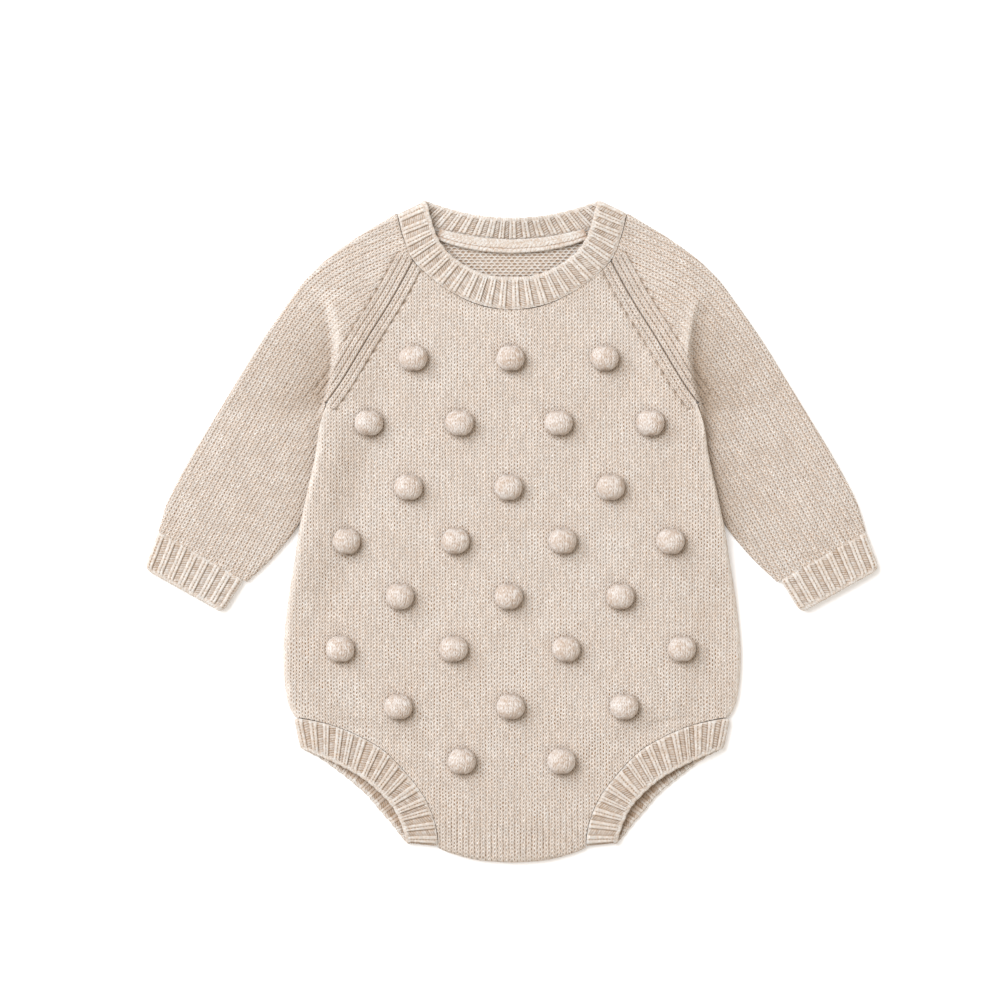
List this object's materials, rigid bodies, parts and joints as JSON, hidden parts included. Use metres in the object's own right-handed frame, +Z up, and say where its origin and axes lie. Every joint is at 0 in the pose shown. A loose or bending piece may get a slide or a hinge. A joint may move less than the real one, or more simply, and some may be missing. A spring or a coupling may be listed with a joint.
{
  "type": "baby romper",
  "caption": "long-sleeved knitted baby romper with raglan sleeves, rib bands at neck, cuffs and legs and round bobbles on the front, laid flat",
  "frame": {"origin": "centre of the garment's box in plan, on the surface it lies on", "axes": "+X to the wearer's left, +Y from the crotch to the neck, +Z up out of the front"},
  "size_m": [0.4392, 0.3976, 0.0173],
  "materials": {
    "stockinette": "fine stockinette knit in an oatmeal melange yarn, matt, slightly fuzzy",
    "rib": "rib knit in the same yarn, raised wales and purl troughs",
    "tape": "narrow knitted tape in the same yarn",
    "bobble": "knitted balls in the same yarn, felted-looking"
  },
  "bodies": {
    "root": {"front_panel": "stockinette", "back_panel": "stockinette", "sleeve_left": "stockinette", "sleeve_right": "stockinette", "cuff_left": "rib", "cuff_right": "rib", "neckband": "rib", "neck_tape": "tape", "leg_band_left": "rib", "leg_band_right": "rib", "bobble_01": "bobble", "bobble_02": "bobble", "bobble_03": "bobble", "bobble_04": "bobble", "bobble_05": "bobble", "bobble_06": "bobble", "bobble_07": "bobble", "bobble_08": "bobble", "bobble_09": "bobble", "bobble_10": "bobble", "bobble_11": "bobble", "bobble_12": "bobble", "bobble_13": "bobble", "bobble_14": "bobble", "bobble_15": "bobble", "bobble_16": "bobble", "bobble_17": "bobble", "bobble_18": "bobble", "bobble_19": "bobble", "bobble_20": "bobble", "bobble_21": "bobble", "bobble_22": "bobble", "bobble_23": "bobble", "bobble_24": "bobble", "bobble_25": "bobble", "bobble_26": "bobble"}
  },
  "joints": []
}
